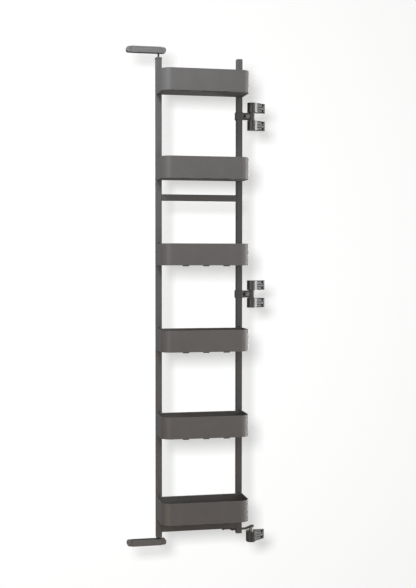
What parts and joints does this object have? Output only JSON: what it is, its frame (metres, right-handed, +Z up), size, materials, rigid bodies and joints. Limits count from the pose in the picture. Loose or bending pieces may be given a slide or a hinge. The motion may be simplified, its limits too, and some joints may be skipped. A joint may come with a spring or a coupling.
{
  "type": "swing-out larder frame",
  "caption": "Tall swing-out larder frame with hooked sheet metal baskets, hinged on wall brackets and guided by pins in two door rails.",
  "frame": {"origin": "middle of the bottom bearing's two wall screw holes, on the face that lies on the cabinet wall", "axes": "+X along the swung-out frame towards the hinges and into the cabinet, +Y into the cabinet wall and the open door, +Z up"},
  "size_m": [0.5412, 0.167, 1.8907],
  "materials": {
    "frame_coat": "fine textured anthracite powder coat",
    "basket_coat": "fine textured anthracite powder coat",
    "hook_steel": "dark coated steel",
    "block_moulding": "grey moulded plastic",
    "housing_moulding": "anthracite moulded plastic",
    "link_casting": "coated zinc casting",
    "slide_plastic": "dark acetal",
    "strap_steel": "dark coated steel",
    "pin_steel": "burnished steel",
    "plug_moulding": "anthracite moulded plastic",
    "cap_moulding": "anthracite moulded plastic",
    "rail_coat": "satin anthracite coat"
  },
  "bodies": {
    "wall_brackets": {"middle_hinge_lower_housing": "housing_moulding", "middle_hinge_lower_block": "block_moulding", "middle_hinge_upper_housing": "housing_moulding", "middle_hinge_upper_block": "block_moulding", "middle_hinge_pin": "pin_steel", "upper_hinge_lower_housing": "housing_moulding", "upper_hinge_lower_block": "block_moulding", "upper_hinge_upper_housing": "housing_moulding", "upper_hinge_upper_block": "block_moulding", "upper_hinge_pin": "pin_steel", "bottom_bearing_housing": "housing_moulding", "bottom_bearing_block": "block_moulding"},
    "frame": {"left_post": "frame_coat", "right_post": "frame_coat", "upper_crossbar": "frame_coat", "lower_crossbar": "frame_coat", "left_post_top_plug": "plug_moulding", "left_post_foot_plug": "plug_moulding", "right_post_top_cap": "plug_moulding", "right_post_foot_cap": "plug_moulding", "top_guide_pin": "pin_steel", "bottom_guide_pin": "pin_steel", "middle_hinge_link": "link_casting", "middle_hinge_collar": "link_casting", "upper_hinge_link": "link_casting", "upper_hinge_collar": "link_casting", "bearing_strap": "strap_steel", "bearing_shaft": "strap_steel", "bearing_plate": "strap_steel", "basket_1_wall": "basket_coat", "basket_1_floor": "basket_coat", "basket_2_wall": "basket_coat", "basket_2_floor": "basket_coat", "basket_3_wall": "basket_coat", "basket_3_floor": "basket_coat", "basket_4_wall": "basket_coat", "basket_4_floor": "basket_coat", "basket_5_wall": "basket_coat", "basket_5_floor": "basket_coat", "basket_6_wall": "basket_coat", "basket_6_floor": "basket_coat", "basket_hooks": "hook_steel"},
    "top_shoe": {"top_shoe": "slide_plastic"},
    "top_rail": {"top_rail": "rail_coat", "top_rail_cover": "rail_coat", "top_rail_left_cap": "cap_moulding", "top_rail_right_cap": "cap_moulding"},
    "bottom_shoe": {"bottom_shoe": "slide_plastic"},
    "bottom_rail": {"bottom_rail": "rail_coat", "bottom_rail_cover": "rail_coat", "bottom_rail_left_cap": "cap_moulding", "bottom_rail_right_cap": "cap_moulding"}
  },
  "joints": [
    {"name": "frame_swing", "type": "hinge", "parent": "wall_brackets", "child": "frame", "pos_m": [-0.046, -0.022, 0], "axis": [0, 0, 1], "range_deg": [-15, 90]},
    {"name": "top_shoe_turn", "type": "hinge", "parent": "frame", "child": "top_shoe", "pos_m": [-0.408, -0.022, 1.845], "axis": [0, 0, 1], "range_deg": [-12, 12]},
    {"name": "top_rail_slide", "type": "slide", "parent": "top_shoe", "child": "top_rail", "axis": [1, 0, 0], "range_m": [0, 0.094]},
    {"name": "bottom_shoe_turn", "type": "hinge", "parent": "frame", "child": "bottom_shoe", "pos_m": [-0.408, -0.022, 0.007], "axis": [0, 0, 1], "range_deg": [-12, 12]},
    {"name": "bottom_rail_slide", "type": "slide", "parent": "bottom_shoe", "child": "bottom_rail", "axis": [1, 0, 0], "range_m": [0, 0.094]}
  ],
  "couplings": [
    {"joint": "bottom_shoe_turn", "follows": "top_shoe_turn", "ratio": 1},
    {"joint": "bottom_rail_slide", "follows": "top_rail_slide", "ratio": 1}
  ]
}
